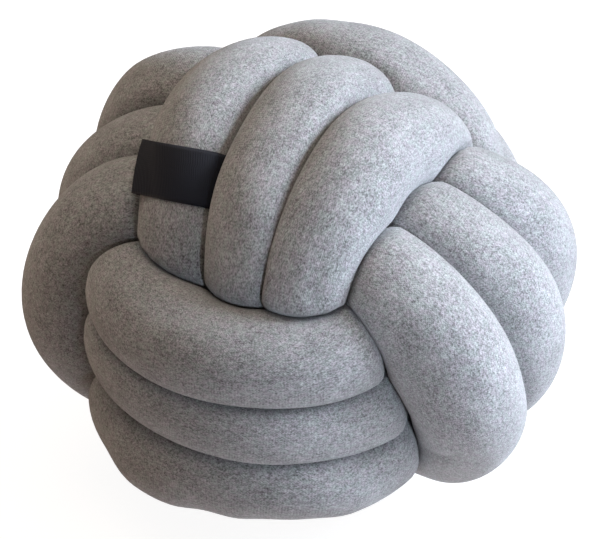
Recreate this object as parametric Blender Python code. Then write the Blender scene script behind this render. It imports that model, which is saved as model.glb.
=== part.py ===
"""Knot cushion: one long tube of stuffed jersey, tied as a ball of three strands each way, with a ribbon label.

The ball has six faces in three opposite pairs. Each band is three turns of the tube round two opposite
faces: it shows on those faces and dives under the strands of the next pair. The route of the tube's middle
line is worked out from a few sizes and two short tables. The filled cloth is then grown outwards from that
line, section by section, until it is full or meets a neighbour half way.
"""

import bmesh
import bpy
import numpy as np

MM = 0.001

# The filled tube, in metres
TUBE_RADIUS = 0.0312

# How strands press on each other. The flats between them meet the round cloth in an edge of this sharpness.
# Half the gap between two strands is wide near the ball's centre and narrow near its skin.
PRESS_SHARPNESS = 12
HALF_GAPS = (0.0055, 0.0013)
HALF_GAP_DISTANCES = (0.078, 0.102)
THINNEST = 0.001

# Where the tube bends sharply it meets itself: this near, in tube radii, and at this share of half way
BEND_REACH = 2.5
BEND_SHARE = 0.9

# How the strands lie round the ball, in metres
CROWN_SPREAD = 0.0472
SHOULDER_SPREAD = 0.0363
UNDER_SPREAD = 0.037
UNDER_RADIUS = 0.064
SHOULDER_ANGLE = 50
STEEPEST = 0.9

# Distance of a strand's middle line from the ball's centre, by angle from the middle of its face
ARCH = (
    # degrees, metres
    (0, 0.1130),
    (20, 0.1099),
    (40, 0.0987),
    (60, 0.0818),
    (90, UNDER_RADIUS),
)

# Each crossing of a face, in the order in which the tube is wound, band by band. Place is the strand's side
# of the face. The leans shift it sideways at its start, middle and end, lift raises its middle, tilt raises
# its end over its start, shoulder raises both its bends, and fat adds to its radius, all in millimetres.
BANDS = (
    (
        # face, place, lean at start, in the middle, at the end, lift, tilt, shoulder, fat
        ("A3", 1, 9, -8.5, -3, -4.5, 4, -1, -1.5),
        ("F3", 1, 0, -1, 0, 0, 0, 0, 0),
        ("A2", 0, 4, -0.5, 8.5, -8.5, 1, 0, -0.5),
        ("F2", 0, 0, 0, 0, -4, 0, 0, 0),
        ("A1", -1, 4.5, 3.5, 7, -1, -3.5, -1, -1.5),
        ("F1", -1, 0, 1, 0, 0, 0, 0, 0),
    ),
    (
        ("B1", 1, 5.5, -7, 2.5, -3.5, -2, 0.5, -2),
        ("E1", 1, -2, 23.5, 9.5, 0, 6, 1, 1.5),
        ("B2", 0, 11.5, 8, -3, -2.5, 0, -0.5, -2.5),
        ("E2", 0, 7, 22, 8, 0, 0, 0, 0),
        ("B3", -1, -6.5, 18, -4.5, 7, 2, 4, -0.5),
        ("E3", -1, 8, 21, 8, 0, 0, 0, 1),
    ),
    (
        ("C1", 1, -17.5, 0.5, 4, 9, -2, 1, 0.5),
        ("D1", 1, 5.5, 20, 8, 5.5, 1, 2.5, 4),
        ("C2", 0, -5, -2, 1.5, 4.5, -2, -1.5, -2),
        ("D2", 0, 4, 5, 1, 1.5, 0.5, -0.5, 1.5),
        ("C3", -1, 3, -10.5, 7.5, 3, -1, -1.5, -1),
        ("D3", -1, -1, 4, 1.5, 12.5, -3.5, 4.5, 3),
    ),
)

LIFT, TILT, SHOULDER, FAT = range(5, 9)

# The two ends of the tube, curled up in the middle of the ball
FIRST_TAIL_TURN = 140
LAST_TAIL_TURN = 25
TAIL_RADIUS = 0.012

# How the ball sits: its turn about X, Y and Z in degrees, its squash, and its press on the floor
BALL_TURN = (-108.9, -68.6, -98.2)
BALL_SQUASH = 0.913
FLOOR_PRESS = 0.0085

# The ribbon round one strand: its angle from the middle of the face, its width measured along the strand's
# middle line (the cloth's bulge makes it wider outside), and how far its ends reach into the crevices
LABEL_STRAND = "A1"
LABEL_ANGLE = 22.5
LABEL_WIDTH = 0.0182
LABEL_THICKNESS = 0.001
LABEL_GAP = 0.0003
LABEL_REACH = 0.0009

# Colours in linear light
JERSEY_GREY = (0.30, 0.30, 0.30)
RIBBON_BLACK = (0.013, 0.014, 0.018)

# Fineness of the cloth's faces
ROUTE_STEP = 10
LINE_STEP = 0.004
SIDES = 16
SHOWN_STEP = 0.0136
HIDDEN_STEP = 0.0175
SHOWN_RADIUS = 0.090


def spline(knots, values, at):
    """A natural cubic spline through the values, a row for each knot, read at the given places."""
    knots = np.asarray(knots, float)
    values = np.asarray(values, float)
    gaps = np.diff(knots)
    slopes = np.diff(values, axis=0) / gaps[:, None]
    system = np.eye(len(knots))
    right = np.zeros_like(values)
    for i in range(1, len(knots) - 1):
        system[i, i - 1 : i + 2] = gaps[i - 1], 2 * (gaps[i - 1] + gaps[i]), gaps[i]
        right[i] = 6 * (slopes[i] - slopes[i - 1])
    bends = np.linalg.solve(system, right)
    left = np.clip(np.searchsorted(knots, at, side="right") - 1, 0, len(knots) - 2)
    gap = gaps[left][:, None]
    run = (at - knots[left])[:, None]
    rest = gap - run
    cubic = (bends[left] * rest**3 + bends[left + 1] * run**3) / (6 * gap)
    first = (values[left] / gap - bends[left] * gap / 6) * rest
    last = (values[left + 1] / gap - bends[left + 1] * gap / 6) * run
    return cubic + first + last


def arch_radius(turn):
    """The middle line's distance from the ball's centre, which repeats at each face."""
    angles = [a for a, _ in ARCH]
    radii = [r for _, r in ARCH]
    knots = [-a for a in angles[:0:-1]] + angles + [180 - a for a in angles[-2::-1]]
    values = radii[:0:-1] + radii + radii[-2::-1]
    from_face = (np.asarray(turn) + 90) % 180 - 90
    return spline(knots, np.array(values)[:, None], from_face)[:, 0]


def side_shift(band, turn):
    """The middle line's shift to the side along a band, through each crossing's three leans."""
    knots = [-90]
    shifts = [band[0][1] * UNDER_SPREAD]
    for i, (_, place, start, middle, end, *_) in enumerate(band):
        face = 180 * i
        after = band[i + 1][1] if i + 1 < len(band) else place
        knots += [face - SHOULDER_ANGLE, face, face + SHOULDER_ANGLE, face + 90]
        shifts += [
            place * SHOULDER_SPREAD + start * MM,
            place * CROWN_SPREAD + middle * MM,
            place * SHOULDER_SPREAD + end * MM,
            (place + after) / 2 * UNDER_SPREAD,
        ]
    return spline(knots, np.array(shifts)[:, None], np.asarray(turn, float))[:, 0]


def face_value(band, turn, column, wave):
    """A value of the crossings that fades out where the strand goes under."""
    index = np.clip(np.floor((turn + 90) / 180).astype(int), 0, len(band) - 1)
    return np.array([row[column] for row in band])[index] * MM * wave(np.radians(turn - 180 * index))


def bulge(angle):
    return np.cos(angle) ** 2


def slant(angle):
    return np.sin(2 * angle)


def both_bends(angle):
    return np.sin(2 * angle) ** 2


def band_points(number, turn, radius, shift):
    """Points on a band's route, with the band's outward, forward and side axes put in their order."""
    tilt = np.arcsin(np.clip(shift / radius, -STEEPEST, STEEPEST))
    points = np.empty((len(turn), 3))
    points[:, number] = radius * np.cos(tilt) * np.cos(np.radians(turn))
    points[:, (number + 1) % 3] = radius * np.cos(tilt) * np.sin(np.radians(turn))
    points[:, (number + 2) % 3] = radius * np.sin(tilt)
    return points


def tail(number, place, start_turn, sweep):
    """One end of the tube, which curls on from where its band ends towards the middle of the ball."""
    steps = np.arange(ROUTE_STEP, abs(sweep) + 1, ROUTE_STEP)
    share = steps / abs(FIRST_TAIL_TURN)
    radius = UNDER_RADIUS + (TAIL_RADIUS - UNDER_RADIUS) * share
    shift = place * UNDER_SPREAD * (1 - share) * radius / UNDER_RADIUS
    return band_points(number, start_turn + np.sign(sweep) * steps, radius, shift)


def route():
    """The whole middle line in the ball's own axes: rows of point, extra radius, and turn within the band."""
    rows = []
    first, last = BANDS[0], BANDS[-1]
    start = tail(0, first[0][1], -90, -FIRST_TAIL_TURN)[::-1]
    rows += [(*p, 0, 0, 0) for p in start]
    for number, band in enumerate(BANDS):
        turn = np.arange(-90, 180 * len(band) - 90 + 1, ROUTE_STEP)
        radius = arch_radius(turn)
        for column, wave in ((LIFT, bulge), (TILT, slant), (SHOULDER, both_bends)):
            radius = radius + face_value(band, turn, column, wave)
        points = band_points(number, turn, radius, side_shift(band, turn))
        fat = face_value(band, turn, FAT, bulge)
        rows += [(*p, f, number + 1, t) for p, f, t in zip(points, fat, turn)]
    end = tail(len(BANDS) - 1, last[-1][1], 180 * len(last) - 90, LAST_TAIL_TURN)
    rows += [(*p, 0, 0, 0) for p in end]
    return np.array(rows)


def turned(points, degrees):
    """The points turned about X, then Y, then Z."""
    for axis, angle in enumerate(np.radians(degrees)):
        u, v = (axis + 1) % 3, (axis + 2) % 3
        around = points.copy()
        around[:, u] = points[:, u] * np.cos(angle) - points[:, v] * np.sin(angle)
        around[:, v] = points[:, u] * np.sin(angle) + points[:, v] * np.cos(angle)
        points = around
    return points


def along(points):
    return np.concatenate([[0], np.cumsum(np.linalg.norm(np.diff(points, axis=0), axis=1))])


class Line:
    """The tube's middle line as the ball sits on the floor, with its length, radius and section axes."""

    def __init__(self):
        rows = route()
        points = turned(rows[:, :3], BALL_TURN)
        points[:, 2] *= BALL_SQUASH
        lengths = along(points)
        rough = np.arange(0, lengths[-1], LINE_STEP)
        fine = spline(lengths, points, rough)
        self.length = along(fine)
        self.radius = TUBE_RADIUS + np.interp(rough, lengths, rows[:, 3])
        self.from_centre = np.linalg.norm(fine, axis=1)
        lowest = (fine[:, 2] - self.radius).min() + FLOOR_PRESS
        fine[:, 2] -= lowest
        self.points = fine
        self.ball_centre = np.array([0, 0, -lowest])
        self.marks = {}
        for number, band in enumerate(BANDS):
            for i, row in enumerate(band):
                here = rows[:, 4] == number + 1
                self.marks[row[0]] = (rows[here, 5] - 180 * i, np.interp(lengths[here], rough, self.length))
        self.tangents = np.gradient(fine, axis=0)
        self.tangents /= np.linalg.norm(self.tangents, axis=1)[:, None]
        self.normals = self.carried_normals()

    def carried_normals(self):
        """A normal carried along the line with as little twist as possible."""
        normal = np.cross(self.tangents[0], (0, 0, 1))
        normals = []
        for tangent in self.tangents:
            normal = normal - tangent * (normal @ tangent)
            normal = normal / np.linalg.norm(normal)
            normals.append(normal)
        return np.array(normals)

    def at(self, values, place):
        return np.array([np.interp(place, self.length, column) for column in values.T]).T

    def place_on(self, strand, angle):
        angles, lengths = self.marks[strand]
        return float(np.interp(angle, angles, lengths))


def section_places(line, fixed):
    """Where the sections stand along the line: close together where it shows, and on the fixed places."""
    step = np.where(line.from_centre > SHOWN_RADIUS, SHOWN_STEP, HIDDEN_STEP)
    counts = np.cumsum(np.gradient(line.length) / step)
    number = int(counts[-1])
    places = np.interp(np.linspace(counts[0], counts[-1], number), counts, line.length)[1:-1]
    nearest = int(np.argmin(np.abs(places - fixed[0])))
    places[nearest : nearest + len(fixed)] = fixed
    return places, nearest


def grow(line, places):
    """Sections of the filled cloth: points round the line, each as far out as the tube or a neighbour lets it."""
    centres = line.at(line.points, places)
    tangents = line.at(line.tangents, places)
    tangents /= np.linalg.norm(tangents, axis=1)[:, None]
    normals = line.at(line.normals, places)
    radii = np.interp(places, line.length, line.radius)
    angles = np.linspace(0, 2 * np.pi, SIDES, endpoint=False)
    middle = line.ball_centre
    rings = []
    spare = []
    for place, centre, tangent, normal, radius in zip(places, centres, tangents, normals, radii):
        normal = normal - tangent * (normal @ tangent)
        normal /= np.linalg.norm(normal)
        rays = np.outer(np.cos(angles), normal) + np.outer(np.sin(angles), np.cross(tangent, normal))
        apart = np.abs(line.length - place)
        away = line.points - centre
        towards = np.maximum(rays @ away.T, 1e-9)
        half_way = ((away**2).sum(1) + radius**2 - line.radius**2) / (2 * towards)
        own = apart < BEND_REACH * TUBE_RADIUS
        half_way[:, own] *= BEND_SHARE
        half_way[:, apart < 1.5 * LINE_STEP] = np.inf
        half_gap = np.interp(np.linalg.norm(centre - middle), HALF_GAP_DISTANCES, HALF_GAPS)
        free = np.maximum(half_way.min(1) - half_gap, THINNEST)
        out = (radius**-PRESS_SHARPNESS + free**-PRESS_SHARPNESS) ** (-1 / PRESS_SHARPNESS)
        from_end = min(place, line.length[-1] - place, radius) / radius
        out *= np.sqrt(1 - (1 - from_end) ** 2)
        ring = centre + rays * out[:, None]
        below = ring[:, 2] < 0
        drop = centre[2] / np.maximum(-rays[:, 2], 1e-9)
        ring[below] = (centre + rays * drop[:, None])[below]
        ring[below, 2] = 0
        rings.append(ring)
        spare.append(free - out)
    return np.array(rings), np.array(spare)


def solid(name, build, colour, roughness):
    """A named object whose mesh is drawn by build, shaded smooth, with its own material."""
    mesh = bpy.data.meshes.new(name)
    sketch = bmesh.new()
    build(sketch)
    bmesh.ops.recalc_face_normals(sketch, faces=sketch.faces)
    sketch.to_mesh(mesh)
    sketch.free()
    mesh.shade_smooth()
    material = bpy.data.materials.new(name)
    material.use_nodes = True
    shader = material.node_tree.nodes["Principled BSDF"]
    shader.inputs["Base Color"].default_value = (*colour, 1)
    shader.inputs["Roughness"].default_value = roughness
    shader.inputs["Metallic"].default_value = 0
    mesh.materials.append(material)
    obj = bpy.data.objects.new(name, mesh)
    bpy.context.scene.collection.objects.link(obj)
    return obj


def tube_mesh(rings, ends):
    def build(sketch):
        rows = [[sketch.verts.new(p) for p in ring] for ring in rings]
        for one, two in zip(rows, rows[1:]):
            for i in range(SIDES):
                j = (i + 1) % SIDES
                sketch.faces.new((one[i], one[j], two[j], two[i]))
        for row, end in ((rows[0], ends[0]), (rows[-1], ends[1])):
            tip = sketch.verts.new(end)
            for i in range(SIDES):
                sketch.faces.new((row[i], row[(i + 1) % SIDES], tip))

    return build


def label_mesh(rings, centres, spare, outward):
    """The ribbon: it follows the strand's own faces, from the crevice on one side to the crevice on the other."""
    middle = rings[len(rings) // 2]
    towards = (middle - centres[len(rings) // 2]) @ outward
    top = int(np.argmax(towards))
    room = spare.min(axis=0)
    needed = LABEL_GAP + LABEL_THICKNESS - LABEL_REACH
    limits = []
    for direction in (-1, 1):
        steps = 0
        while room[(top + direction * (steps + 1)) % SIDES] > needed:
            steps += 1
        inner = room[(top + direction * steps) % SIDES]
        outer = room[(top + direction * (steps + 1)) % SIDES]
        limits.append(top + direction * (steps + (inner - needed) / (inner - outer)))
    columns = [limits[0], *range(int(np.ceil(limits[0])), int(limits[1]) + 1), limits[1]]

    def point(ring, centre, column, height):
        i = int(np.floor(column))
        share = column - i
        on_cloth = ring[i % SIDES] * (1 - share) + ring[(i + 1) % SIDES] * share
        ray = on_cloth - centre
        return on_cloth + ray / np.linalg.norm(ray) * height

    def build(sketch):
        layers = []
        for height in (LABEL_GAP, LABEL_GAP + LABEL_THICKNESS):
            layers.append(
                [
                    [sketch.verts.new(point(ring, centre, column, height)) for column in columns]
                    for ring, centre in zip(rings, centres)
                ]
            )
        for rows in layers:
            for one, two in zip(rows, rows[1:]):
                for i in range(len(columns) - 1):
                    sketch.faces.new((one[i], one[i + 1], two[i + 1], two[i]))
        under, over = layers
        for i in range(len(columns) - 1):
            for row in (0, -1):
                sketch.faces.new((under[row][i], under[row][i + 1], over[row][i + 1], over[row][i]))
        for i in range(len(rings) - 1):
            for column in (0, -1):
                sketch.faces.new(
                    (under[i][column], under[i + 1][column], over[i + 1][column], over[i][column])
                )

    return build


def main():
    for obj in list(bpy.data.objects):
        bpy.data.objects.remove(obj)
    line = Line()
    middle = line.place_on(LABEL_STRAND, LABEL_ANGLE)
    edges = (middle - LABEL_WIDTH / 2, middle, middle + LABEL_WIDTH / 2)
    places, first = section_places(line, edges)
    rings, spare = grow(line, places)
    low, high = rings.reshape(-1, 3).min(0), rings.reshape(-1, 3).max(0)
    centring = np.array([-(low[0] + high[0]) / 2, -(low[1] + high[1]) / 2, 0])
    rings += centring
    line.points += centring
    ends = line.points[0], line.points[-1]
    solid("knot", tube_mesh(rings, ends), JERSEY_GREY, 0.95)
    shown = slice(first, first + len(edges))
    centres = line.at(line.points, places[shown])
    outward = centres[1] - line.points.mean(axis=0)
    solid("label", label_mesh(rings[shown], centres, spare[shown], outward), RIBBON_BLACK, 0.5)


main()
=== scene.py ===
"""Knot cushion: one long tube of stuffed jersey tied as a ball, with a ribbon round one strand.

The tube's middle line is worked out from a few sizes and the winding tables. The filled cloth grows outwards
from that line until it is full or meets a neighbour half way. Swells, puckers and creases are laid on it,
and then the knit, the ribbon and a small studio.
"""

import math

import bpy
import numpy as np
from bpy.props import FloatProperty, FloatVectorProperty, IntProperty, PointerProperty
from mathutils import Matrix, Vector


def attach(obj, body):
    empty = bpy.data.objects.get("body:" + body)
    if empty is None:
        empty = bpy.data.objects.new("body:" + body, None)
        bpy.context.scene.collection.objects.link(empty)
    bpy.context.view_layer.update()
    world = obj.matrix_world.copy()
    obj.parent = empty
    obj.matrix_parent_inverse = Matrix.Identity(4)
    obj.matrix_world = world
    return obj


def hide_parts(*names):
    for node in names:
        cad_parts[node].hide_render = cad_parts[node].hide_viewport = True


bl_info = {
    "name": "Knot cushion",
    "version": (1, 0, 0),
    "blender": (4, 5, 0),
    "location": "View3D > Sidebar > Cushion",
    "description": "Makes a knot cushion of stuffed jersey, its ribbon and a small studio",
    "category": "Object",
}

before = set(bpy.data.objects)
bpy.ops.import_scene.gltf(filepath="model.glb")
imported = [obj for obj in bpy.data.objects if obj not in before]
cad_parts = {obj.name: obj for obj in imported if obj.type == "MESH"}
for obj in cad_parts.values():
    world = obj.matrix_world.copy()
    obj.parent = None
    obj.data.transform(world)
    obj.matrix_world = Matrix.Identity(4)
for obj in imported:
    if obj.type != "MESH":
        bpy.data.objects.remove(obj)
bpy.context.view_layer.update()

MM = 0.001

# How the strands lie round the ball, in metres
CROWN_SPREAD = 0.0472
SHOULDER_SPREAD = 0.0363
UNDER_SPREAD = 0.037
UNDER_RADIUS = 0.064
SHOULDER_ANGLE = 50
STEEPEST = 0.9

# Distance of a strand's middle line from the ball's centre, by angle from the middle of its face
ARCH = (
    # degrees, metres
    (0, 0.1130),
    (20, 0.1099),
    (40, 0.0987),
    (60, 0.0818),
    (90, UNDER_RADIUS),
)

# Each crossing of a face, in the order in which the tube is wound, band by band. Place is the strand's side
# of the face. The leans shift it sideways at its start, middle and end, lift raises its middle, tilt raises
# its end over its start, shoulder raises both its bends, and fat adds to its radius, all in millimetres.
BANDS = (
    (
        # face, place, lean at start, in the middle, at the end, lift, tilt, shoulder, fat
        ("A3", 1, 9, -8.5, -3, -4.5, 4, -1, -1.5),
        ("F3", 1, 0, -1, 0, 0, 0, 0, 0),
        ("A2", 0, 4, -0.5, 8.5, -8.5, 1, 0, -0.5),
        ("F2", 0, 0, 0, 0, -4, 0, 0, 0),
        ("A1", -1, 4.5, 3.5, 7, -1, -3.5, -1, -1.5),
        ("F1", -1, 0, 1, 0, 0, 0, 0, 0),
    ),
    (
        ("B1", 1, 5.5, -7, 2.5, -3.5, -2, 0.5, -2),
        ("E1", 1, -2, 23.5, 9.5, 0, 6, 1, 1.5),
        ("B2", 0, 11.5, 8, -3, -2.5, 0, -0.5, -2.5),
        ("E2", 0, 7, 22, 8, 0, 0, 0, 0),
        ("B3", -1, -6.5, 18, -4.5, 7, 2, 4, -0.5),
        ("E3", -1, 8, 21, 8, 0, 0, 0, 1),
    ),
    (
        ("C1", 1, -17.5, 0.5, 4, 9, -2, 1, 0.5),
        ("D1", 1, 5.5, 20, 8, 5.5, 1, 2.5, 4),
        ("C2", 0, -5, -2, 1.5, 4.5, -2, -1.5, -2),
        ("D2", 0, 4, 5, 1, 1.5, 0.5, -0.5, 1.5),
        ("C3", -1, 3, -10.5, 7.5, 3, -1, -1.5, -1),
        ("D3", -1, -1, 4, 1.5, 12.5, -3.5, 4.5, 3),
    ),
)
LIFT, TILT, SHOULDER, FAT = range(5, 9)

# The two ends of the tube, curled up in the middle of the ball
FIRST_TAIL_TURN = 140
LAST_TAIL_TURN = 25
TAIL_RADIUS = 0.012

# How the ball sits: its turn about X, Y and Z in degrees, its squash, its press on the floor, and where the
# middle of the winding is over the floor
BALL_TURN = (-108.9, -68.6, -98.2)
BALL_SQUASH = 0.913
FLOOR_PRESS = 0.0085
BALL_PLACE = (0.003188, -0.002795)

# The waist where a strand is squeezed under its neighbours: its angle from the middle of the face, how much
# radius it loses, and how far along it reaches, in metres
WAIST_ANGLE = 60
WAIST_DEPTH = 0.003
WAIST_REACH = 0.013

# A strand that dives under its neighbours gives way to them: how much of its radius counts less against them,
# in metres, and the angles from the middle of its face between which it begins to
DIVE_YIELD = 0.005
DIVE_SPAN = (34, 52)

# Where the tube bends sharply it meets itself: this near, in tube radii, and at this share of half way
BEND_REACH = 2.5
BEND_SHARE = 0.9

# The tube is never thinner than this between its neighbours, in metres
THINNEST = 0.001

# Only points of the line this near count as neighbours, in tube radii, and only those at least this far along
# the line, in its steps
NEIGHBOUR_REACH = 5
NEIGHBOUR_SKIP = 1.5

# Between these distances from the ball's middle, in metres, strands go from a small gap to a press
GAP_DISTANCES = (0.06, 0.088)

# Fineness of the middle line: degrees between the points of its route, and metres between its own points
ROUTE_STEP = 10
LINE_STEP = 0.0025

# The sections close up over this distance, in metres, as the tube comes out of the ball
STEP_CHANGE = 0.008

# Swells, puckers and creases fade out where a neighbour leaves less room than this, in metres
LOOSE_ROOM = 0.0035

# The cloth's swells: how long they are along the tube, in metres, how many are laid over each other, the most
# turns that one makes round the tube, and the number that their chance and the puckers' starts from
SWELL_LENGTHS = (0.045, 0.16)
SWELL_WAVES = 12
SWELL_TURNS = 2
CHANCE_START = 4

# Soft puckers where a strand dives under its neighbours: their angles from the middle of its face, how far
# along they reach in metres, how many stand round the tube, and how unevenly
DIVE_ANGLES = (-58, 58)
DIVE_REACH = 0.016
PUCKERS_ROUND = (7, 12)
PUCKER_UNEVEN = 0.6

# Creases and tucks that a hand has left: the strand, the angle along it, the angle round it from its crown,
# the crease's length, half width and depth in millimetres, and its lean from the line of the strand
CREASES = (
    # strand, along, round, length, half width, depth, lean
    ("B1", -52, 35, 26, 4.0, 1.6, 70),
    ("B1", 45, 52, 16, 2.6, 1.6, 75),
    ("B1", -33, -60, 13, 3.0, 1.6, 65),
    ("A3", 38, -12, 22, 4.0, 0.9, -20),
    ("C1", -8, -70, 24, 4.0, 1.4, 70),
    ("C1", 50, -20, 30, 4.5, 1.2, 25),
    ("D3", 40, -30, 34, 5.0, 1.0, 15),
    ("A2", -42, 10, 28, 5.0, 0.7, 10),
    ("B2", -46, 5, 26, 4.5, 0.8, 20),
    ("C2", -48, -10, 26, 4.5, 0.8, -15),
    ("E2", 30, 15, 34, 5.0, 0.9, 20),
    ("E1", -35, -10, 30, 5.0, 0.9, -15),
    ("F2", 40, 10, 30, 5.0, 0.8, 15),
    ("F1", -45, -15, 28, 4.5, 0.9, -20),
    ("D1", -40, 10, 30, 5.0, 0.8, 10),
)

# A crease is a groove with a low rim of pushed up cloth beside it: the groove's share of its depth, the rim's
# share, and the rim's width in widths of the groove
CREASE_GROOVE = 1.25
CREASE_RIM = 0.25
CREASE_RIM_WIDTH = 2.2

# Soft bulges and hollows of the filling, in the same terms: a bulge's depth is less than nothing
BULGES = (
    ("B3", -9, 15, 40, 24, -4.0, 0),
    ("B3", 21, 24, 34, 18, 2.5, 0),
    ("E1", 24, -24, 30, 18, -2.0, 0),
    ("D3", -18, -31, 36, 18, 2.5, 0),
    ("D2", 0, 89, 80, 14, -1.8, 0),
    ("D3", 0, -91, 80, 14, -1.8, 0),
    ("C2", 0, 106, 34, 14, -2.0, 0),
    ("C3", 0, -106, 34, 14, -2.0, 0),
)

# The mix of pale and dark fibre, from fine flecks to broad clouds, and the values at which it is all dark and
# all pale
FIBRE_NOISES = (
    # scale per metre, detail, weight
    (1500, 2, 0.62),
    (650, 1, 0.30),
    (160, 2, 0.10),
    (70, 2, 0.14),
)
FIBRE_RANGE = (0.39, 0.77)

# Faint casts of colour from lot to lot of the yarn: patches per metre, and the noise between which they turn
CAST_SCALE = 330.0
CAST_RANGE = (0.38, 0.62)

# The knit: how steeply the two legs of a stitch slant, how high its yarn, its crown and its fuzz stand, the
# height at which its painted light is full, and the painted shade in its grooves and painted light on its
# crowns. Real stitches of this cloth are finer, and these are drawn coarse enough to show.
LEG_SLANT = 1.3
YARN_HEIGHT = 0.25
CROWN_HEIGHT = 0.5
FUZZ_HEIGHT = 0.5
STITCH_TOP = 0.8
STITCH_PAINTED_SHADES = (0.85, 1.07)

# The weave of the ribbon: how much its warp breaks up the ribs, how uneven they are, the range of its height,
# the painted shade in its grooves and painted light on its ribs, and the height of the ribs in metres
WARP_SHARE = 0.4
WEAR_SHARE = 1.2
WEAVE_RANGE = (-1.4, 1.4)
RIB_PAINTED_SHADES = (0.85, 1.15)
RIB_HEIGHT = 0.0001

# The photo's frame, and where the middle of the ball shows in it, in pixels
PHOTO_SIZE = (600, 539)
BALL_PIXEL = (306.7, 272.5)

# Soft light from all round: daylight that falls off pale walls, a ceiling and a floor. Each is brightest in
# its own direction, and the power says how fast it fades from there.
ROOM_LIGHT = (
    # degrees round to the right of the camera, degrees over the floor, strength, colour
    (0, 88, 2.0, "#FFEEDB"),
    (90, -40, 2.6, "#F8F7FF"),
    (270, -40, 1.25, "#FFE1CB"),
)
ROOM_POWER = 5.0

# The backdrop's radius in metres, and its faces round and up
ROOM_RADIUS = 8.0
ROOM_FACES = (48, 24)

# The large window to the right: its direction in degrees round and over, its distance and its side in metres
WINDOW_WAY = (88, 28)
WINDOW_DISTANCE = 1.6
WINDOW_SIZE = 0.85

# The small front light: where it aims, from the middle of the ball, its direction in degrees round and over,
# its distance in metres, the width of its beam in radians, and the radius of its source in metres
FRONT_TARGET = (0.075, -0.115, -0.016)
FRONT_WAY = (20, 0)
FRONT_DISTANCE = 1.1
FRONT_BEAM = 0.136
FRONT_RADIUS = 0.12

# Width of the camera's sensor in millimetres
SENSOR_WIDTH = 36

# The ribbon round one strand: its angle from the middle of the face and its lean, in degrees
RIBBON_STRAND = "A1"
RIBBON_ANGLE = 22.5
RIBBON_LEAN = 6

# The patch of cloth that it is laid on: its length along the strand in metres, how far round from the crown
# it goes in degrees, and its points each way
RIBBON_SPAN = 0.066
RIBBON_ROUND = 115
RIBBON_GRID = 93

# Rows of points across its width
RIBBON_ROWS = 15

# Its bow along the strand, in metres for each radian squared, and the angles round the strand in degrees
# where there is none of it, and from which it goes on straight
RIBBON_BOW = 0.0034
RIBBON_BOW_ENDS = (-51, 11, 24)

# It goes into the crevice where the neighbour leaves less room than this, in metres, and this much further
# round, in radians
RIBBON_PINCH = 0.001
RIBBON_TUCK = 0.14

# Its free end, which stands off the cloth and folds back behind the strand: where it leaves the cloth, in
# degrees round from the crown, and how far it goes on, in metres, at its upper and its lower edge, the radius
# of its fold in metres and its turn in radians, and over how many columns its way ahead is taken
RIBBON_LEAVES = (22, 5)
RIBBON_FREE = (0.0127, 0.0155)
RIBBON_FOLD = 0.0007
RIBBON_BEND = 2.2
RIBBON_AHEAD = 3

# Columns of the ribbon where it lies on the cloth, stands off it, folds, and goes back
RIBBON_LAID = 60
RIBBON_OFF = 12
RIBBON_BENT = 8
RIBBON_BACK = 8


# What all colour properties share
COLOUR = {"subtype": "COLOR", "size": 4}

# Keeps a distance along a ray above nothing
TINY = 1e-9


def linear(colour):
    """A colour in linear light, with full cover, from its sRGB hex value."""
    values = [int(colour[i : i + 2], 16) / 255 for i in (1, 3, 5)]
    return (*[v / 12.92 if v <= 0.04045 else ((v + 0.055) / 1.055) ** 2.4 for v in values], 1.0)


class TubeSizes(bpy.types.PropertyGroup):
    """Sizes of the stuffed tube"""

    radius: FloatProperty(
        name="Tube radius", description="Radius where nothing presses the tube", default=0.0312, unit="LENGTH"
    )
    press_sharpness: FloatProperty(
        name="Press sharpness", description="Sharpness of the edge of a pressed flat", default=9.5
    )
    inner_half_gap: FloatProperty(
        name="Inner half gap",
        description="Half the gap between strands deep inside",
        default=0.0009,
        unit="LENGTH",
    )
    skin_press: FloatProperty(
        name="Press at the skin",
        description="How far strands sink past half way",
        default=0.0008,
        unit="LENGTH",
    )
    sides: IntProperty(name="Points round", description="Points round the tube in each section", default=74)
    shown_step: FloatProperty(
        name="Step where seen",
        description="Distance between sections that show",
        default=0.0034,
        unit="LENGTH",
    )
    hidden_step: FloatProperty(
        name="Step where hidden",
        description="Distance between sections inside",
        default=0.0085,
        unit="LENGTH",
    )
    shown_radius: FloatProperty(
        name="Seen beyond",
        description="The middle line is this far out where it shows",
        default=0.082,
        unit="LENGTH",
    )
    swell: FloatProperty(
        name="Swell", description="Height of the filling's soft swells", default=0.0007, unit="LENGTH"
    )
    pucker: FloatProperty(
        name="Pucker", description="Height of the puckers at the dives", default=0.0008, unit="LENGTH"
    )


class JerseyLook(bpy.types.PropertyGroup):
    """Colours and knit of the jersey"""

    pale_fibre: FloatVectorProperty(
        name="Pale fibre", description="Undyed cotton fibre", default=linear("#D2D3D4"), **COLOUR
    )
    mid_fibre: FloatVectorProperty(
        name="Mid fibre", description="Pale and dark fibres mixed", default=linear("#A4A5A5"), **COLOUR
    )
    dark_fibre: FloatVectorProperty(
        name="Dark fibre", description="Dyed fibre", default=linear("#626161"), **COLOUR
    )
    plum: FloatVectorProperty(
        name="Plum", description="Faint plum cast of some yarn", default=linear("#FBF4FA"), **COLOUR
    )
    sage: FloatVectorProperty(
        name="Sage", description="Faint sage cast of the other yarn", default=linear("#F5FAF8"), **COLOUR
    )
    wale: FloatProperty(
        name="Wale", description="Width of one column of stitches", default=0.0012, unit="LENGTH"
    )
    course: FloatProperty(
        name="Course", description="Height of one row of stitches", default=0.00105, unit="LENGTH"
    )
    relief: FloatProperty(
        name="Stitch relief", description="Height of the stitches", default=0.0004, unit="LENGTH"
    )
    fuzz: FloatProperty(name="Fuzz", description="Weight of the soft sheen of loose fibres", default=0.45)


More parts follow.
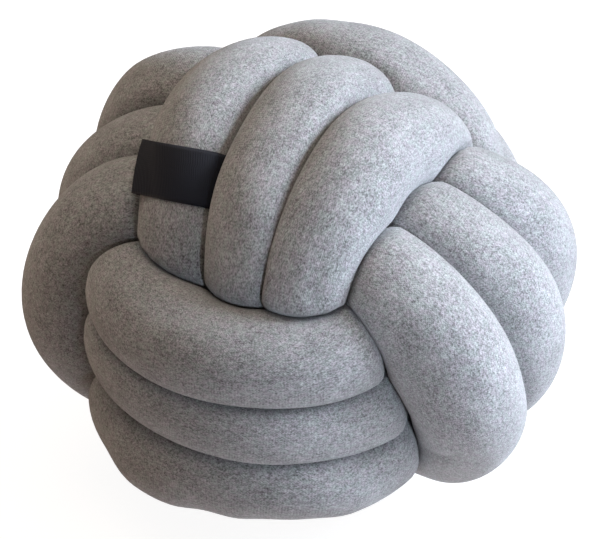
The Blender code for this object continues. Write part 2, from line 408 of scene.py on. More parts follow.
class RibbonLook(bpy.types.PropertyGroup):
    """Size and colour of the woven ribbon"""

    width: FloatProperty(name="Width", description="Width of the ribbon", default=0.0285, unit="LENGTH")
    thickness: FloatProperty(
        name="Thickness", description="Thickness of the ribbon", default=0.0005, unit="LENGTH"
    )
    lift: FloatProperty(
        name="Lift", description="Gap between the ribbon and the cloth", default=0.0002, unit="LENGTH"
    )
    colour: FloatVectorProperty(
        name="Colour", description="Dyed polyester yarn", default=linear("#0C1222"), **COLOUR
    )
    # Real ribs are less than half as far apart. These are drawn coarse enough to show.
    yarn: FloatProperty(name="Yarn", description="Spacing of the weft yarns", default=0.0011, unit="LENGTH")


class StudioLook(bpy.types.PropertyGroup):
    """Camera and light"""

    distance: FloatProperty(
        name="Distance", description="From the camera to the ball's centre", default=1.2, unit="LENGTH"
    )
    elevation: FloatProperty(
        name="Elevation", description="Height of the camera over the ball in degrees", default=24.0
    )
    lens: FloatProperty(name="Lens", description="Focal length on a 36 mm sensor in mm", default=133.3)
    window: FloatProperty(name="Window", description="Power of the large window light in watts", default=46.5)
    window_colour: FloatVectorProperty(
        name="Window colour", description="Cool daylight", default=linear("#E1EEFF"), **COLOUR
    )
    front: FloatProperty(
        name="Front", description="Power of the small light from the front in watts", default=128.0
    )
    room: FloatProperty(name="Room", description="Strength of the soft light from all round", default=1.0)
    paper: FloatProperty(name="Paper", description="Glow of the pale floor and backdrop", default=0.9)


def add_node(tree, kind, inputs=None, **settings):
    """Adds a node, sets its properties, and links or sets each of its inputs. A node given as an input stands
    for its first output."""
    node = tree.nodes.new("ShaderNode" + kind)
    for name, value in settings.items():
        setattr(node, name, value)
    for key, value in (inputs or {}).items():
        if isinstance(value, bpy.types.Node):
            value = value.outputs[0]
        if isinstance(value, bpy.types.NodeSocket):
            tree.links.new(value, node.inputs[key])
        else:
            node.inputs[key].default_value = value
    return node


def spline(knots, values, at):
    """A natural cubic spline through the values, a row for each knot, read at the given places."""
    knots = np.asarray(knots, float)
    values = np.asarray(values, float)
    gaps = np.diff(knots)
    slopes = np.diff(values, axis=0) / gaps[:, None]
    system = np.eye(len(knots))
    right = np.zeros_like(values)
    for i in range(1, len(knots) - 1):
        system[i, i - 1 : i + 2] = gaps[i - 1], 2 * (gaps[i - 1] + gaps[i]), gaps[i]
        right[i] = 6 * (slopes[i] - slopes[i - 1])
    bends = np.linalg.solve(system, right)
    left = np.clip(np.searchsorted(knots, at, side="right") - 1, 0, len(knots) - 2)
    gap = gaps[left][:, None]
    run = (at - knots[left])[:, None]
    rest = gap - run
    cubic = (bends[left] * rest**3 + bends[left + 1] * run**3) / (6 * gap)
    first = (values[left] / gap - bends[left] * gap / 6) * rest
    last = (values[left + 1] / gap - bends[left + 1] * gap / 6) * run
    return cubic + first + last


def arch_radius(turn):
    """The middle line's distance from the ball's centre, which repeats at each face."""
    angles = [a for a, _ in ARCH]
    radii = [r for _, r in ARCH]
    knots = [-a for a in angles[:0:-1]] + angles + [180 - a for a in angles[-2::-1]]
    values = radii[:0:-1] + radii + radii[-2::-1]
    from_face = (np.asarray(turn) + 90) % 180 - 90
    return spline(knots, np.array(values)[:, None], from_face)[:, 0]


def side_shift(band, turn):
    """The middle line's shift to the side along a band, through each crossing's three leans."""
    knots = [-90]
    shifts = [band[0][1] * UNDER_SPREAD]
    for i, (_, place, start, middle, end, *_) in enumerate(band):
        face = 180 * i
        after = band[i + 1][1] if i + 1 < len(band) else place
        knots += [face - SHOULDER_ANGLE, face, face + SHOULDER_ANGLE, face + 90]
        shifts += [
            place * SHOULDER_SPREAD + start * MM,
            place * CROWN_SPREAD + middle * MM,
            place * SHOULDER_SPREAD + end * MM,
            (place + after) / 2 * UNDER_SPREAD,
        ]
    return spline(knots, np.array(shifts)[:, None], np.asarray(turn, float))[:, 0]


def face_value(band, turn, column, wave):
    """A value of the crossings that fades out where the strand goes under."""
    index = np.clip(np.floor((turn + 90) / 180).astype(int), 0, len(band) - 1)
    return np.array([row[column] for row in band])[index] * MM * wave(np.radians(turn - 180 * index))


def bulge(angle):
    """Full at the middle of a face, and nothing where the strand goes under."""
    return np.cos(angle) ** 2


def slant(angle):
    """Down at a strand's first bend and up at its last."""
    return np.sin(2 * angle)


def both_bends(angle):
    """Up at both bends of a strand."""
    return np.sin(2 * angle) ** 2


def band_points(number, turn, radius, shift):
    """Points on a band's route, with the band's outward, forward and side axes put in their order."""
    tilt = np.arcsin(np.clip(shift / radius, -STEEPEST, STEEPEST))
    points = np.empty((len(turn), 3))
    points[:, number] = radius * np.cos(tilt) * np.cos(np.radians(turn))
    points[:, (number + 1) % 3] = radius * np.cos(tilt) * np.sin(np.radians(turn))
    points[:, (number + 2) % 3] = radius * np.sin(tilt)
    return points


def tail(number, place, start_turn, sweep):
    """One end of the tube, which curls on from where its band ends towards the middle of the ball."""
    steps = np.arange(ROUTE_STEP, abs(sweep) + 1, ROUTE_STEP)
    share = steps / abs(FIRST_TAIL_TURN)
    radius = UNDER_RADIUS + (TAIL_RADIUS - UNDER_RADIUS) * share
    shift = place * UNDER_SPREAD * (1 - share) * radius / UNDER_RADIUS
    return band_points(number, start_turn + np.sign(sweep) * steps, radius, shift)


def route():
    """The whole middle line in the ball's own axes: rows of point, extra radius, and turn within the band."""
    rows = []
    first, last = BANDS[0], BANDS[-1]
    start = tail(0, first[0][1], -90, -FIRST_TAIL_TURN)[::-1]
    rows += [(*p, 0, 0, 0) for p in start]
    for number, band in enumerate(BANDS):
        turn = np.arange(-90, 180 * len(band) - 90 + 1, ROUTE_STEP)
        radius = arch_radius(turn)
        for column, wave in ((LIFT, bulge), (TILT, slant), (SHOULDER, both_bends)):
            radius = radius + face_value(band, turn, column, wave)
        points = band_points(number, turn, radius, side_shift(band, turn))
        fat = face_value(band, turn, FAT, bulge)
        rows += [(*p, f, number + 1, t) for p, f, t in zip(points, fat, turn)]
    end = tail(len(BANDS) - 1, last[-1][1], 180 * len(last) - 90, LAST_TAIL_TURN)
    rows += [(*p, 0, 0, 0) for p in end]
    return np.array(rows)


def turned(points, degrees):
    """The points turned about X, then Y, then Z."""
    for axis, angle in enumerate(np.radians(degrees)):
        u, v = (axis + 1) % 3, (axis + 2) % 3
        around = points.copy()
        around[:, u] = points[:, u] * np.cos(angle) - points[:, v] * np.sin(angle)
        around[:, v] = points[:, u] * np.sin(angle) + points[:, v] * np.cos(angle)
        points = around
    return points


def read_at(places, knots, rows):
    """Rows of values, one for each knot, read between the knots at the given places."""
    return np.array([np.interp(places, knots, column) for column in rows.T]).T


def along(points):
    """The length along a line at each of its points."""
    return np.concatenate([[0], np.cumsum(np.linalg.norm(np.diff(points, axis=0), axis=1))])


def eased(values):
    """Values held between 0 and 1, with a soft start and end."""
    values = np.clip(values, 0, 1)
    return values * values * (3 - 2 * values)


class Line:
    """The tube's middle line as the ball sits on the floor, with its length, radius and section axes."""

    def __init__(self, sizes):
        rows = route()
        points = turned(rows[:, :3], BALL_TURN)
        points[:, 2] *= BALL_SQUASH
        lengths = along(points)
        rough = np.arange(0, lengths[-1], LINE_STEP)
        fine = spline(lengths, points, rough)
        self.length = along(fine)
        self.radius = sizes.radius + np.interp(rough, lengths, rows[:, 3])
        self.from_centre = np.linalg.norm(fine, axis=1)
        lowest = (fine[:, 2] - self.radius).min() + FLOOR_PRESS
        fine += (*BALL_PLACE, -lowest)
        self.points = fine
        self.ball_centre = np.array([*BALL_PLACE, -lowest])
        self.marks = {}
        for number, band in enumerate(BANDS):
            for i, row in enumerate(band):
                here = rows[:, 4] == number + 1
                self.marks[row[0]] = (rows[here, 5] - 180 * i, np.interp(lengths[here], rough, self.length))
        for strand in self.marks:
            for angle in (-WAIST_ANGLE, WAIST_ANGLE):
                off = (self.length - self.place_on(strand, angle)) / WAIST_REACH
                self.radius -= WAIST_DEPTH * np.exp(-(off**2))
        from_face = np.where(rows[:, 4] > 0, np.abs((rows[:, 5] + 90) % 180 - 90), 90)
        diving = (np.interp(rough, lengths, from_face) - DIVE_SPAN[0]) / (DIVE_SPAN[1] - DIVE_SPAN[0])
        self.wall_radius = self.radius - DIVE_YIELD * eased(diving)
        self.tangents = np.gradient(fine, axis=0)
        self.tangents /= np.linalg.norm(self.tangents, axis=1)[:, None]
        self.normals = self.carried_normals()

    def carried_normals(self):
        """A normal carried along the line with as little twist as possible."""
        normal = np.cross(self.tangents[0], (0, 0, 1))
        normals = []
        for tangent in self.tangents:
            normal = normal - tangent * (normal @ tangent)
            normal = normal / np.linalg.norm(normal)
            normals.append(normal)
        return np.array(normals)

    def at(self, values, place):
        """The line's values, a row for each of its points, read at the given lengths along it."""
        return read_at(place, self.length, values)

    def place_on(self, strand, angle):
        """The length along the line at an angle from the middle of a strand's face."""
        angles, lengths = self.marks[strand]
        return float(np.interp(angle, angles, lengths))

    def axes_at(self, places):
        """Centre, direction, and the two section axes at each place."""
        centres = self.at(self.points, places)
        tangents = self.at(self.tangents, places)
        tangents /= np.linalg.norm(tangents, axis=1)[:, None]
        normals = self.at(self.normals, places)
        normals -= tangents * (normals * tangents).sum(1)[:, None]
        normals /= np.linalg.norm(normals, axis=1)[:, None]
        return centres, tangents, normals, np.cross(tangents, normals)

    def round_from_crown(self, place, angle):
        """The section angle at a place that lies the given degrees round from the strand's crown."""
        centres, tangents, normals, sides = self.axes_at(np.array([place]))
        outward = centres[0] - self.ball_centre
        crown = np.arctan2(outward @ sides[0], outward @ normals[0])
        return float(crown + np.radians(angle))


def section_places(line, sizes):
    """Where the sections stand along the line: close together where the tube shows."""
    shown = eased((line.from_centre - sizes.shown_radius + STEP_CHANGE) / STEP_CHANGE)
    step = sizes.hidden_step + (sizes.shown_step - sizes.hidden_step) * shown
    counts = np.cumsum(np.gradient(line.length) / step)
    return np.interp(np.linspace(counts[0], counts[-1], int(counts[-1])), counts, line.length)[1:-1]


def grow(line, sizes, places, angles):
    """How far out the cloth reaches at each place and angle, and how much room is left beyond it there."""
    centres, _, normals, sides = line.axes_at(places)
    radii = np.interp(places, line.length, line.radius)
    walls = np.interp(places, line.length, line.wall_radius)
    sharpness = sizes.press_sharpness
    cosines, sines = np.cos(angles)[:, None], np.sin(angles)[:, None]
    reach, room = [], []
    for place, centre, normal, side, radius, wall in zip(places, centres, normals, sides, radii, walls):
        rays = cosines * normal + sines * side
        apart = np.abs(line.length - place)
        away = line.points - centre
        near = (away**2).sum(1) < (NEIGHBOUR_REACH * sizes.radius) ** 2
        near &= apart > NEIGHBOUR_SKIP * LINE_STEP
        away = away[near]
        towards = np.maximum(rays @ away.T, TINY)
        own = apart[near] < BEND_REACH * sizes.radius
        push = np.where(own, 0, wall**2 - line.wall_radius[near] ** 2)
        half_way = ((away**2).sum(1) + push) / (2 * towards)
        half_way[:, own] *= BEND_SHARE
        from_middle = np.linalg.norm(centre - line.ball_centre)
        half_gap = np.interp(from_middle, GAP_DISTANCES, (sizes.inner_half_gap, -sizes.skin_press))
        free = np.maximum(half_way.min(1) - half_gap, THINNEST)
        out = (radius**-sharpness + free**-sharpness) ** (-1 / sharpness)
        from_end = min(place, line.length[-1] - place, radius) / radius
        reach.append(out * np.sqrt(1 - (1 - from_end) ** 2))
        room.append(free - out)
    return np.array(reach), np.array(room)


def relief(line, sizes, places, angles):
    """The height of swells, puckers and creases at each place and angle, before neighbours press on them."""
    chance = np.random.default_rng(CHANCE_START)
    place, angle = places[:, None], angles[None, :]
    height = np.zeros((len(places), len(angles)))
    for _ in range(SWELL_WAVES):
        length = chance.uniform(*SWELL_LENGTHS)
        turns = chance.integers(-SWELL_TURNS, SWELL_TURNS + 1)
        phase = chance.uniform(0, 2 * np.pi)
        wave = np.cos(2 * np.pi * place / length + turns * angle + phase)
        height += wave * sizes.swell / math.sqrt(SWELL_WAVES)
    for strand in line.marks:
        for dive in DIVE_ANGLES:
            middle = line.place_on(strand, dive)
            near = np.exp(-(((place - middle) / DIVE_REACH) ** 2))
            folds = chance.integers(*PUCKERS_ROUND)
            phase, drift = chance.uniform(0, 2 * np.pi, 2)
            wave = np.cos(folds * angle + phase + PUCKER_UNEVEN * np.sin(2 * angle + drift))
            patch = 0.5 + 0.5 * np.cos(angle + drift)
            height += near * wave * patch * sizes.pucker
    for strand, along_angle, round_angle, length, half_width, depth, lean in CREASES + BULGES:
        middle = line.place_on(strand, along_angle)
        start = line.round_from_crown(middle, round_angle)
        across = ((angle - start + np.pi) % (2 * np.pi) - np.pi) * sizes.radius / MM
        ahead = (place - middle) / MM
        turn = math.radians(lean)
        run = ahead * math.cos(turn) + across * math.sin(turn)
        off = (across * math.cos(turn) - ahead * math.sin(turn)) / half_width
        fading = np.exp(-((run / (length / 2)) ** 4))
        groove = CREASE_GROOVE * np.exp(-(off**2)) - CREASE_RIM * np.exp(-((off / CREASE_RIM_WIDTH) ** 2))
        height += -depth * MM * fading * groove
    return height


def skin(line, sizes, places, angles):
    """Points of the finished cloth at each place and angle, the room beyond them, and their directions."""
    reach, room = grow(line, sizes, places, angles)
    height = relief(line, sizes, places, angles)
    loose = eased(room / LOOSE_ROOM)
    centres, _, normals, sides = line.axes_at(places)
    cosines, sines = np.cos(angles)[None, :, None], np.sin(angles)[None, :, None]
    rays = cosines * normals[:, None] + sines * sides[:, None]
    out = reach + height * loose
    points = centres[:, None] + rays * out[..., None]
    under = points[..., 2] < 0
    drop = centres[:, None, 2] / np.maximum(-rays[..., 2], TINY)
    points[under] = (centres[:, None] + rays * drop[..., None])[under]
    points[..., 2] = np.maximum(points[..., 2], 0)
    return points, room, rays


def new_piece(name, points, faces, material):
    """A named object in the scene from points and faces, shaded smooth."""
    mesh = bpy.data.meshes.new(name)
    mesh.from_pydata(points, [], faces)
    mesh.shade_smooth()
    mesh.materials.append(material)
    piece = bpy.data.objects.new(name, mesh)
    bpy.context.scene.collection.objects.link(piece)
    return piece


def new_material(name, finish):
    """A material with its shader's plain values, its node tree and its shader."""
    material = bpy.data.materials.new(name)
    material.use_nodes = True
    shader = material.node_tree.nodes["Principled BSDF"]
    for socket, value in finish.items():
        shader.inputs[socket].default_value = value
    return material, material.node_tree, shader


def stitch_nodes(tree, wale, course):
    """Height of plain knit from the cloth's own map in metres: two slanting legs to each stitch."""
    place = add_node(tree, "UVMap", uv_map="cloth")
    parts = add_node(tree, "SeparateXYZ", {0: place})
    column = add_node(tree, "Math", {0: parts, 1: 1 / wale}, operation="MULTIPLY")
    row = add_node(tree, "Math", {0: parts.outputs[1], 1: 1 / course}, operation="MULTIPLY")
    leg = add_node(tree, "Math", {0: column, 1: 0.5}, operation="PINGPONG")
    slope = add_node(tree, "Math", {0: leg, 1: LEG_SLANT, 2: row}, operation="MULTIPLY_ADD")
    phase = add_node(tree, "Math", {0: slope, 1: 2 * math.pi}, operation="MULTIPLY")
    yarn = add_node(tree, "Math", {0: phase}, operation="COSINE")
    yarn = add_node(tree, "Math", {0: yarn, 1: YARN_HEIGHT, 2: YARN_HEIGHT}, operation="MULTIPLY_ADD")
    groove = add_node(tree, "Math", {0: leg, 1: 2 * math.pi}, operation="MULTIPLY")
    groove = add_node(tree, "Math", {0: groove}, operation="SINE")
    groove = add_node(tree, "Math", {0: groove}, operation="ABSOLUTE")
    return add_node(tree, "Math", {0: groove, 1: CROWN_HEIGHT, 2: yarn}, operation="MULTIPLY_ADD")


def jersey_material(look):
    """Heather grey cotton jersey, knitted and slightly brushed: matt, speckled with pale and dark fibres,
    with rows of small stitches and a faint halo of loose fibres. The colour has painted shade in the grooves
    between stitches and painted light on their crowns."""
    material, tree, shader = new_material(
        "heather_jersey",
        {"Roughness": 0.95, "Specular IOR Level": 0.2, "Sheen Weight": look.fuzz, "Sheen Roughness": 0.45},
    )
    stitches = stitch_nodes(tree, look.wale, look.course)
    tube = add_node(tree, "Attribute", attribute_name="tube_place", attribute_type="GEOMETRY")
    tube = tube.outputs["Vector"]
    mixed = 0.0
    for scale, detail, weight in FIBRE_NOISES:
        noise = add_node(tree, "TexNoise", {"Vector": tube, "Scale": scale, "Detail": detail})
        mixed = add_node(tree, "Math", {0: noise, 1: weight, 2: mixed}, operation="MULTIPLY_ADD")
    share = add_node(
        tree, "MapRange", {"Value": mixed, "From Min": FIBRE_RANGE[0], "From Max": FIBRE_RANGE[1]}
    )
    ramp = add_node(tree, "ValToRGB", {0: share})
    ramp.color_ramp.elements[0].color = look.dark_fibre
    ramp.color_ramp.elements[1].color = look.pale_fibre
    middle = ramp.color_ramp.elements.new(0.5)
    middle.color = look.mid_fibre
    lots = add_node(tree, "TexNoise", {"Vector": tube, "Scale": CAST_SCALE, "Detail": 2.0})
    lots = add_node(tree, "MapRange", {"Value": lots, "From Min": CAST_RANGE[0], "From Max": CAST_RANGE[1]})
    cast = add_node(tree, "Mix", {0: lots, 6: tuple(look.sage), 7: tuple(look.plum)}, data_type="RGBA")
    cast = add_node(
        tree, "Mix", {0: 1.0, 6: ramp, 7: cast.outputs[2]}, data_type="RGBA", blend_type="MULTIPLY"
    )
    # Painted shade in the grooves between stitches and painted light on their crowns, multiplied into the
    # colour
    groove, crown = STITCH_PAINTED_SHADES
    painted_shade = add_node(
        tree, "MapRange", {"Value": stitches, "From Max": STITCH_TOP, "To Min": groove, "To Max": crown}
    )
    colour = add_node(
        tree, "Mix", {0: 1.0, 6: cast.outputs[2], 7: painted_shade}, data_type="RGBA", blend_type="MULTIPLY"
    )
    scale, detail, _ = FIBRE_NOISES[0]
    fibres = add_node(tree, "TexNoise", {"Vector": tube, "Scale": scale, "Detail": detail})
    height = add_node(tree, "Math", {0: fibres, 1: FUZZ_HEIGHT, 2: stitches}, operation="MULTIPLY_ADD")
    bump = add_node(tree, "Bump", {"Strength": 0.5, "Distance": look.relief, "Height": height})
    tree.links.new(colour.outputs[2], shader.inputs["Base Color"])
    tree.links.new(bump.outputs[0], shader.inputs["Normal"])
    return material


def ribbon_material(look):
    """Woven polyester ribbon, near black: fine weft ribs, a slight satin gloss and firm edges. The colour has
    painted shade in the grooves between ribs and painted light on the ribs.
    """
    material, tree, shader = new_material(
        "woven_ribbon", {"Roughness": 0.6, "Specular IOR Level": 0.35, "Sheen Weight": 0.1}
    )
    place = add_node(tree, "UVMap", uv_map="cloth")
    parts = add_node(tree, "SeparateXYZ", {0: place})
    weft = add_node(tree, "Math", {0: parts.outputs[1], 1: 2 * math.pi / look.yarn}, operation="MULTIPLY")
    weft = add_node(tree, "Math", {0: weft}, operation="SINE")
    warp = add_node(tree, "Math", {0: parts, 1: 2 * math.pi / look.yarn}, operation="MULTIPLY")
    warp = add_node(tree, "Math", {0: warp}, operation="SINE")
    weave = add_node(tree, "Math", {0: weft, 1: warp}, operation="MULTIPLY")
    weave = add_node(tree, "Math", {0: weave, 1: WARP_SHARE, 2: weft}, operation="MULTIPLY_ADD")
    wear = add_node(tree, "TexNoise", {"Vector": place, "Scale": 400.0, "Detail": 3.0})
    height = add_node(tree, "Math", {0: wear, 1: WEAR_SHARE, 2: weave}, operation="MULTIPLY_ADD")
    bump = add_node(tree, "Bump", {"Strength": 0.5, "Distance": RIB_HEIGHT, "Height": height})
    # Painted shade in the grooves between ribs and painted light on the ribs, set by the weave's height
    lowest, highest = WEAVE_RANGE
    share = add_node(tree, "MapRange", {"Value": weave, "From Min": lowest, "From Max": highest})
    ramp = add_node(tree, "ValToRGB", {0: share})
    for element, painted_shade in zip(ramp.color_ramp.elements, RIB_PAINTED_SHADES):
        element.color = (*[value * painted_shade for value in look.colour[:3]], 1.0)
    tree.links.new(ramp.outputs[0], shader.inputs["Base Color"])
    tree.links.new(bump.outputs[0], shader.inputs["Normal"])
    return material


class CUSHION_OT_knot(bpy.types.Operator):
    """Grow the stuffed tube along its winding and give it its jersey"""

    bl_idname = "cushion.knot"
    bl_label = "Knot"

    def execute(self, context):
        sizes = context.scene.cushion_tube
        look = context.scene.cushion_jersey
        line = Line(sizes)
        angles = np.linspace(0, 2 * np.pi, sizes.sides, endpoint=False)
        places = section_places(line, sizes)
        points, _, _ = skin(line, sizes, places, angles)
        ends = line.at(line.points, places[[0, -1]])
        count, sides = len(places), sizes.sides
        steps = np.arange(count - 1)[:, None] * sides
        here, after = np.arange(sides)[None, :], (np.arange(sides)[None, :] + 1) % sides
        walls = np.stack([steps + here, steps + after, steps + sides + after, steps + sides + here], axis=-1)
        faces = walls.reshape(-1, 4).tolist()
        first_tip, last_tip = count * sides, count * sides + 1
        faces += [[(i + 1) % sides, i, first_tip] for i in range(sides)]
        last = (count - 1) * sides
        faces += [[last + i, last + (i + 1) % sides, last_tip] for i in range(sides)]
        everything = np.concatenate([points.reshape(-1, 3), ends])
        piece = new_piece("jersey_knot", everything.tolist(), faces, jersey_material(look))

        # The cloth's own map in metres, with a whole number of stitches round the tube
        columns = round(2 * math.pi * sizes.radius / look.wale)
        across = np.arange(sides + 1) / sides * columns * look.wale
        flat = np.empty((count - 1, sides, 4, 2))
        flat[..., 0] = across[np.arange(sides)[:, None] + np.array([0, 1, 1, 0])][None]
        flat[..., 1] = places[np.arange(count - 1)[:, None] + np.array([0, 0, 1, 1])][:, None]
        tips = np.zeros((2 * sides * 3, 2))
        corners = np.concatenate([flat.reshape(-1, 2), tips])
        cloth = piece.data.uv_layers.new(name="cloth")
        cloth.uv.foreach_set("vector", corners.astype(np.float32).ravel())

        # Each point's place on the tube laid out straight, for the speckle
        tube = np.empty((count, sides, 3))
        tube[..., 0] = sizes.radius * np.cos(angles)
        tube[..., 1] = sizes.radius * np.sin(angles)
        tube[..., 2] = places[:, None]
        tip_places = np.array([[0, 0, places[0]], [0, 0, places[-1]]])
        tube_place = piece.data.attributes.new("tube_place", "FLOAT_VECTOR", "POINT")
        at_points = np.concatenate([tube.reshape(-1, 3), tip_places])
        tube_place.data.foreach_set("vector", at_points.astype(np.float32).ravel())
        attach(piece, "root")
        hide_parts("knot")
        return {"FINISHED"}


def ribbon_row(path, spare, round_crown, share):
    """One row of the ribbon's points from end to end: out of the crevice, over the cloth, off it, and folded
    back into the other crevice. Path and spare are the cloth's points under the row and the room beyond them,
    and share goes from 0 at the ribbon's upper edge to 1 at its lower."""
    loose = np.flatnonzero(spare > RIBBON_PINCH)
    first, last = round_crown[loose[0]] - RIBBON_TUCK, round_crown[loose[-1]] + RIBBON_TUCK
    leaves = math.radians(RIBBON_LEAVES[0] + share * (RIBBON_LEAVES[1] - RIBBON_LEAVES[0]))
    free = RIBBON_FREE[0] + share * (RIBBON_FREE[1] - RIBBON_FREE[0])
    laid = read_at(np.linspace(first, leaves, RIBBON_LAID), round_crown, path)
    ahead = laid[-1] - laid[-1 - RIBBON_AHEAD]
    ahead /= np.linalg.norm(ahead)
    tucked = read_at(last, round_crown, path)
    off = laid[-1] + ahead * np.linspace(0, free, RIBBON_OFF)[1:, None]
    inwards = tucked - off[-1]
    inwards -= ahead * (inwards @ ahead)
    inwards /= np.linalg.norm(inwards)
    bend = np.linspace(0, RIBBON_BEND, RIBBON_BENT)[1:, None]
    fold = off[-1] + RIBBON_FOLD * (np.sin(bend) * ahead + (1 - np.cos(bend)) * inwards)
    back = fold[-1] + (tucked - fold[-1]) * np.linspace(0, 1, RIBBON_BACK)[1:, None]
    return np.concatenate([laid, off, fold, back])


def thick_sheet(sheet, outwards, thickness):
    """Points and faces of a thick sheet, from a grid of points on its middle and the ways that they face."""
    rows, columns = sheet.shape[:2]
    half = outwards * thickness / 2
    points = np.concatenate([(sheet - half).reshape(-1, 3), (sheet + half).reshape(-1, 3)])
    top = rows * columns
    under = np.arange(top).reshape(rows, columns)
    over = under + top
    patches = [
        (under[:-1, :-1], under[:-1, 1:], under[1:, 1:], under[1:, :-1]),
        (over[1:, :-1], over[1:, 1:], over[:-1, 1:], over[:-1, :-1]),
        (under[:-1, :1], under[1:, :1], over[1:, :1], over[:-1, :1]),
        (over[:-1, -1:], over[1:, -1:], under[1:, -1:], under[:-1, -1:]),
        (over[:1, :-1], over[:1, 1:], under[:1, 1:], under[:1, :-1]),
        (under[-1:, :-1], under[-1:, 1:], over[-1:, 1:], over[-1:, :-1]),
    ]
    faces = []
    for corners in patches:
        faces += np.stack(corners, axis=-1).reshape(-1, 4).tolist()
    return points, faces


class CUSHION_OT_ribbon(bpy.types.Operator):
    """Lay the woven ribbon round its strand, from crevice to crevice"""

    bl_idname = "cushion.ribbon"
    bl_label = "Ribbon"

    def execute(self, context):
        sizes = context.scene.cushion_tube
        look = context.scene.cushion_ribbon
        line = Line(sizes)
        middle = line.place_on(RIBBON_STRAND, RIBBON_ANGLE)
        crown = line.round_from_crown(middle, 0)
        round_crown = np.radians(np.linspace(-RIBBON_ROUND, RIBBON_ROUND, RIBBON_GRID))
        places = middle + np.linspace(-RIBBON_SPAN / 2, RIBBON_SPAN / 2, RIBBON_GRID)
        points, room, rays = skin(line, sizes, places, crown + round_crown)
        points += rays * (look.lift + look.thickness / 2)
        steps = np.linalg.norm(np.diff(points, axis=0), axis=2)
        run = np.concatenate([np.zeros((1, RIBBON_GRID)), np.cumsum(steps, axis=0)])
        run -= run[RIBBON_GRID // 2]
        offsets = np.linspace(-look.width / 2, look.width / 2, RIBBON_ROWS)
        shifts = -math.tan(math.radians(RIBBON_LEAN)) * round_crown * sizes.radius
        bow_start, bow_end, straight = np.radians(RIBBON_BOW_ENDS)
        bowed = np.minimum(round_crown, straight)
        shifts += RIBBON_BOW * (bowed - bow_start) * (bow_end - bowed)
        rows = []
        for offset, share in zip(offsets, np.linspace(0, 1, RIBBON_ROWS)):
            path = np.empty((RIBBON_GRID, 3))
            spare = np.empty(RIBBON_GRID)
            for j, shift in enumerate(shifts):
                path[j] = read_at(offset + shift, run[:, j], points[:, j])
                spare[j] = np.interp(offset + shift, run[:, j], room[:, j])
            rows.append(ribbon_row(path, spare, round_crown, share))
        sheet = np.array(rows)
        outwards = np.cross(np.gradient(sheet, axis=1), np.gradient(sheet, axis=0))
        outwards /= np.linalg.norm(outwards, axis=2)[..., None]
        if outwards[0, 0] @ (sheet[0, 0] - line.at(line.points, np.array([middle]))[0]) < 0:
            outwards = -outwards
        everything, faces = thick_sheet(sheet, outwards, look.thickness)
        piece = new_piece("ribbon", everything.tolist(), faces, ribbon_material(look))
        rows, columns = sheet.shape[:2]
        length = along(sheet[rows // 2] + outwards[rows // 2] * look.thickness / 2)
        flat = np.array([(offsets[i], length[j]) for i in range(rows) for j in range(columns)] * 2)
        cloth = piece.data.uv_layers.new(name="cloth")
        for loop in piece.data.loops:
            cloth.uv[loop.index].vector = flat[loop.vertex_index]
        bpy.ops.object.select_all(action="DESELECT")
        piece.select_set(True)
        context.view_layer.objects.active = piece
        bpy.ops.object.mode_set(mode="EDIT")
        bpy.ops.mesh.select_all(action="SELECT")
        bpy.ops.mesh.normals_make_consistent(inside=False)
        bpy.ops.object.mode_set(mode="OBJECT")
        piece.select_set(False)
        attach(piece, "root")
        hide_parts("label")
        return {"FINISHED"}


def aimed(position, target):
    """The turn that points a light or camera from its position at the target."""
    return (Vector(position) - Vector(target)).to_track_quat("Z", "Y").to_euler()


def way(azimuth, elevation):
    """A direction from its degrees round to the right of the camera's side and its degrees over the floor."""
    across, over = math.radians(azimuth), math.radians(elevation)
    return Vector((math.sin(across) * math.cos(over), -math.cos(across) * math.cos(over), math.sin(over)))


def add_lamp(name, kind, position, target, **settings):
    """A lamp that shines at its target and doesn't show itself."""
    bpy.ops.object.light_add(type=kind, location=position, rotation=aimed(position, target))
    lamp = bpy.context.object
    lamp.name = name
    lamp.visible_camera = False
    for key, value in settings.items():
        setattr(lamp.data, key, value)


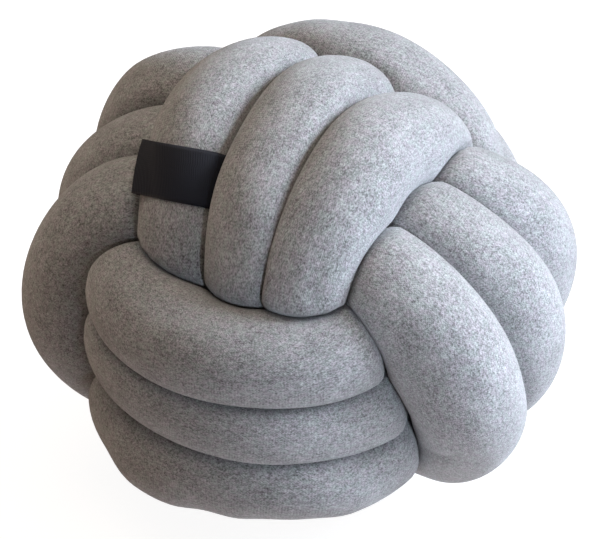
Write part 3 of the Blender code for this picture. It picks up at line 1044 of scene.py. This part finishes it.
class CUSHION_OT_studio(bpy.types.Operator):
    """Set the pale floor and backdrop, the lights and the camera"""

    bl_idname = "cushion.studio"
    bl_label = "Studio"

    def execute(self, context):
        look = context.scene.cushion_studio
        scene = context.scene
        ball = Vector(Line(scene.cushion_tube).ball_centre)
        bpy.ops.object.select_all(action="DESELECT")
        # Smooth white paper, lit so evenly that it seems to glow
        paper, _, _ = new_material(
            "pale_paper",
            {
                "Base Color": linear("#959595"),
                "Roughness": 0.9,
                "Specular IOR Level": 0.0,
                "Emission Color": linear("#FFFFFF"),
                "Emission Strength": look.paper,
            },
        )
        bpy.ops.mesh.primitive_plane_add(size=2 * ROOM_RADIUS)
        context.object.name = "floor"
        segments, rings = ROOM_FACES
        bpy.ops.mesh.primitive_uv_sphere_add(segments=segments, ring_count=rings, radius=ROOM_RADIUS)
        context.object.name = "backdrop"
        for name in ("floor", "backdrop"):
            sheet = bpy.data.objects[name]
            sheet.data.materials.append(paper)
            sheet.visible_diffuse = False
            sheet.visible_glossy = False
            sheet.visible_shadow = False
        bpy.ops.object.select_all(action="DESELECT")

        position = ball + way(0, look.elevation) * look.distance
        bpy.ops.object.camera_add(location=position, rotation=aimed(position, ball))
        camera = context.object
        camera.data.sensor_width = SENSOR_WIDTH
        camera.data.lens = look.lens
        camera.data.shift_x = -(BALL_PIXEL[0] - PHOTO_SIZE[0] / 2) / PHOTO_SIZE[0]
        camera.data.shift_y = (BALL_PIXEL[1] - PHOTO_SIZE[1] / 2) / PHOTO_SIZE[0]
        scene.camera = camera

        daylight = look.window_colour[:3]
        window = ball + way(*WINDOW_WAY) * WINDOW_DISTANCE
        add_lamp("window", "AREA", window, ball, energy=look.window, color=daylight, size=WINDOW_SIZE)
        target = ball + Vector(FRONT_TARGET)
        front = target + way(*FRONT_WAY) * FRONT_DISTANCE
        beam = {"spot_size": FRONT_BEAM, "spot_blend": 1.0, "shadow_soft_size": FRONT_RADIUS}
        add_lamp("front", "SPOT", front, target, energy=look.front, color=daylight, **beam)

        world = bpy.data.worlds.new("soft_room")
        scene.world = world
        world.use_nodes = True
        tree = world.node_tree
        tree.nodes.clear()
        direction = add_node(tree, "TexCoord").outputs["Generated"]
        total = None
        for azimuth, elevation, strength, colour in ROOM_LIGHT:
            brightest = tuple(way(azimuth, elevation))
            facing = add_node(tree, "VectorMath", {0: direction, 1: brightest}, operation="DOT_PRODUCT")
            facing = add_node(tree, "Math", {0: facing.outputs["Value"], 1: 0.0}, operation="MAXIMUM")
            glow = add_node(tree, "Math", {0: facing, 1: ROOM_POWER}, operation="POWER")
            glow = add_node(tree, "Math", {0: glow, 1: strength * look.room}, operation="MULTIPLY")
            part = add_node(tree, "Background", {"Color": linear(colour), "Strength": glow})
            if total:
                part = add_node(tree, "AddShader", {0: total, 1: part})
            total = part
        add_node(tree, "OutputWorld", {"Surface": total})
        scene.view_settings.view_transform = "Standard"
        return {"FINISHED"}


class CUSHION_PT_panel(bpy.types.Panel):
    """The cushion's sizes, looks and steps"""

    bl_label = "Knot cushion"
    bl_space_type = "VIEW_3D"
    bl_region_type = "UI"
    bl_category = "Cushion"

    def draw(self, context):
        scene = context.scene
        for group, operator in (
            (scene.cushion_tube, "cushion.knot"),
            (scene.cushion_jersey, None),
            (scene.cushion_ribbon, "cushion.ribbon"),
            (scene.cushion_studio, "cushion.studio"),
        ):
            box = self.layout.box()
            for name in group.__annotations__:
                box.prop(group, name)
            if operator:
                box.operator(operator)


GROUPS = {
    "cushion_tube": TubeSizes,
    "cushion_jersey": JerseyLook,
    "cushion_ribbon": RibbonLook,
    "cushion_studio": StudioLook,
}
CLASSES = (*GROUPS.values(), CUSHION_OT_knot, CUSHION_OT_ribbon, CUSHION_OT_studio, CUSHION_PT_panel)


def register():
    """Makes the cushion's sizes, looks and steps known to Blender."""
    for one in CLASSES:
        bpy.utils.register_class(one)
    for name, group in GROUPS.items():
        setattr(bpy.types.Scene, name, PointerProperty(type=group))


def unregister():
    """Takes them out again."""
    for name in GROUPS:
        delattr(bpy.types.Scene, name)
    for one in reversed(CLASSES):
        bpy.utils.unregister_class(one)


def main():
    """Makes the cushion and its studio."""
    register()
    bpy.ops.object.select_all(action="DESELECT")
    bpy.ops.cushion.knot()
    bpy.ops.cushion.ribbon()
    bpy.ops.cushion.studio()


if __name__ == "__main__":
    main()
